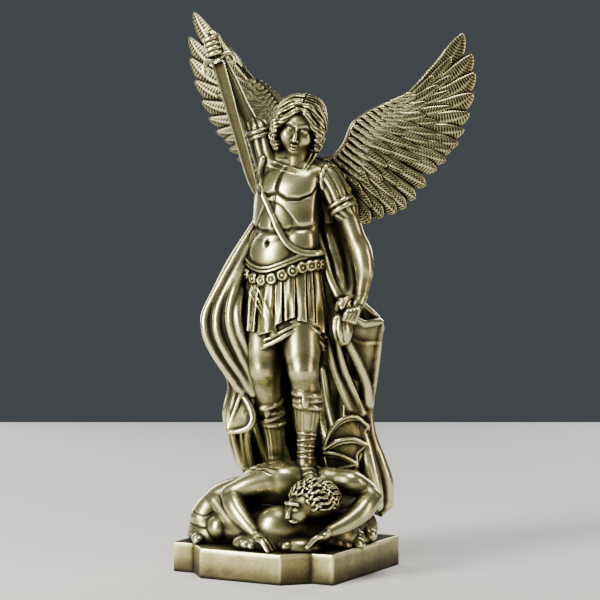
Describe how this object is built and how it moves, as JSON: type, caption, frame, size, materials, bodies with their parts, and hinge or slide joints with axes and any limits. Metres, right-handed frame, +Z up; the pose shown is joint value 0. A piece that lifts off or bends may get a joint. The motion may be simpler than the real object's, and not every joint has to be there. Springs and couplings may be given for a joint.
{
  "type": "archangel statue",
  "caption": "Small brass-finished statue of a winged archangel with a raised sword, standing on a fallen demon, on a notched plinth.",
  "frame": {"origin": "centre of the plinth's underside, on the surface it stands on, midway between its straight sides and between its back and the line of its front corner blocks", "axes": "+Z up, -Y to the plinth's front, which the angel faces, +X to his left"},
  "size_m": [0.1997, 0.1208, 0.3432],
  "materials": {
    "plinth_brass": "satin antique-brass finish on cast resin, darker on top",
    "figure_brass": "antique-brass finish on cast resin, rubbed bright on high places and near black in the folds",
    "wing_brass": "antique-brass finish on cast resin, dark between the feathers",
    "sword_brass": "satin antique-brass finish, bright along the edges"
  },
  "bodies": {
    "root": {"plinth": "plinth_brass", "figure_group": "figure_brass", "wing_left": "wing_brass", "wing_right": "wing_brass", "sword": "sword_brass"}
  },
  "joints": []
}
